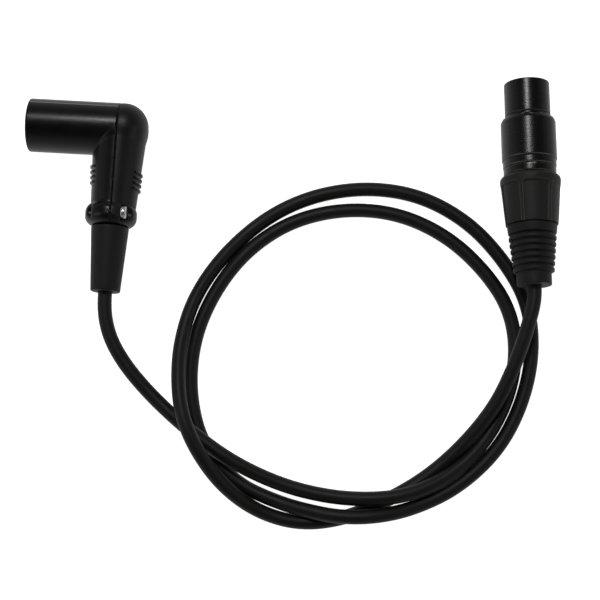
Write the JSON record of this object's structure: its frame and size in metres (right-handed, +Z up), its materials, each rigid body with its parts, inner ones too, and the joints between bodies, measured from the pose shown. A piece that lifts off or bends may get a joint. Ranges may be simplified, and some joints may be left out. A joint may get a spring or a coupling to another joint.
{
  "type": "xlr cable coil",
  "caption": "balanced audio cord lying in a loose loop, a right-angle male connector on one end and a straight latching female connector with a ribbed boot on the other",
  "frame": {"origin": "on the surface that the cable lies on, below the middle of the box round the two connectors", "axes": "+Z up from the surface; -X is the way the male barrel points; +Y is the way from the cord loop to the connectors, along the male connector's leg"},
  "size_m": [0.1897, 0.1625, 0.0214],
  "materials": {
    "gloss_black_plastic": "glossy black paint on die-cast metal",
    "satin_black_plastic": "satin black paint on die-cast metal",
    "black_insert": "moulded",
    "nickel_plated_steel": "nickel plated",
    "black_rubber": "soft matte",
    "nylon_natural": "natural nylon",
    "black_cord_jacket": "flexible PVC jacket with a soft sheen",
    "black_plated_metal": "satin black chrome on die-cast metal",
    "matte_black_plastic": "fine matte grain",
    "silver_contact": "silver-plated brass",
    "wire_shield_green": "core insulation",
    "wire_red": "core insulation",
    "wire_white": "core insulation"
  },
  "bodies": {
    "cable": {"cord": "black_cord_jacket", "female_cable_end": "black_cord_jacket", "female_chuck": "nylon_natural", "female_contact_socket_1": "silver_contact", "female_contact_socket_2": "silver_contact", "female_contact_socket_3": "silver_contact", "female_insert": "black_insert", "female_latch_pin": "nickel_plated_steel", "female_latch_spring": "nickel_plated_steel", "female_shell": "black_plated_metal", "female_wire_1": "wire_shield_green", "female_wire_2": "wire_red", "female_wire_3": "wire_white", "male_back_cover": "satin_black_plastic", "male_boot": "black_rubber", "male_cable_clamp": "nylon_natural", "male_cable_end": "black_cord_jacket", "male_contact_pin_1": "silver_contact", "male_contact_pin_2": "silver_contact", "male_contact_pin_3": "silver_contact", "male_flange_screws": "nickel_plated_steel", "male_front_shell": "gloss_black_plastic", "male_insert": "black_insert", "male_wire_1": "wire_shield_green", "male_wire_2": "wire_red", "male_wire_3": "wire_white"},
    "latch": {"female_latch_lever": "black_plated_metal"},
    "boot": {"female_boot": "black_rubber"},
    "nut": {"female_coupling_nut": "matte_black_plastic"}
  },
  "joints": [
    {"name": "latch_press", "type": "hinge", "parent": "cable", "child": "latch", "pos_m": [0.08922, 0.01003, 0.00548], "axis": [0.7044, 0.0666, 0.7067], "range_deg": [0, 4.2], "stiffness_Nm_per_rad": 0.05, "deforming": ["female_latch_spring"]},
    {"name": "boot_slide", "type": "slide", "parent": "cable", "child": "boot", "axis": [0.0593, -0.9976, 0.0349], "range_m": [0, 0.004]},
    {"name": "nut_turn", "type": "hinge", "parent": "boot", "child": "nut", "pos_m": [0.0866, -0.0318, 0.01203], "axis": [0.0593, -0.9976, 0.0349], "range_deg": [0, 900]}
  ],
  "couplings": [
    {"joint": "nut_turn", "follows": "boot_slide", "rad_per_m": 3927}
  ]
}
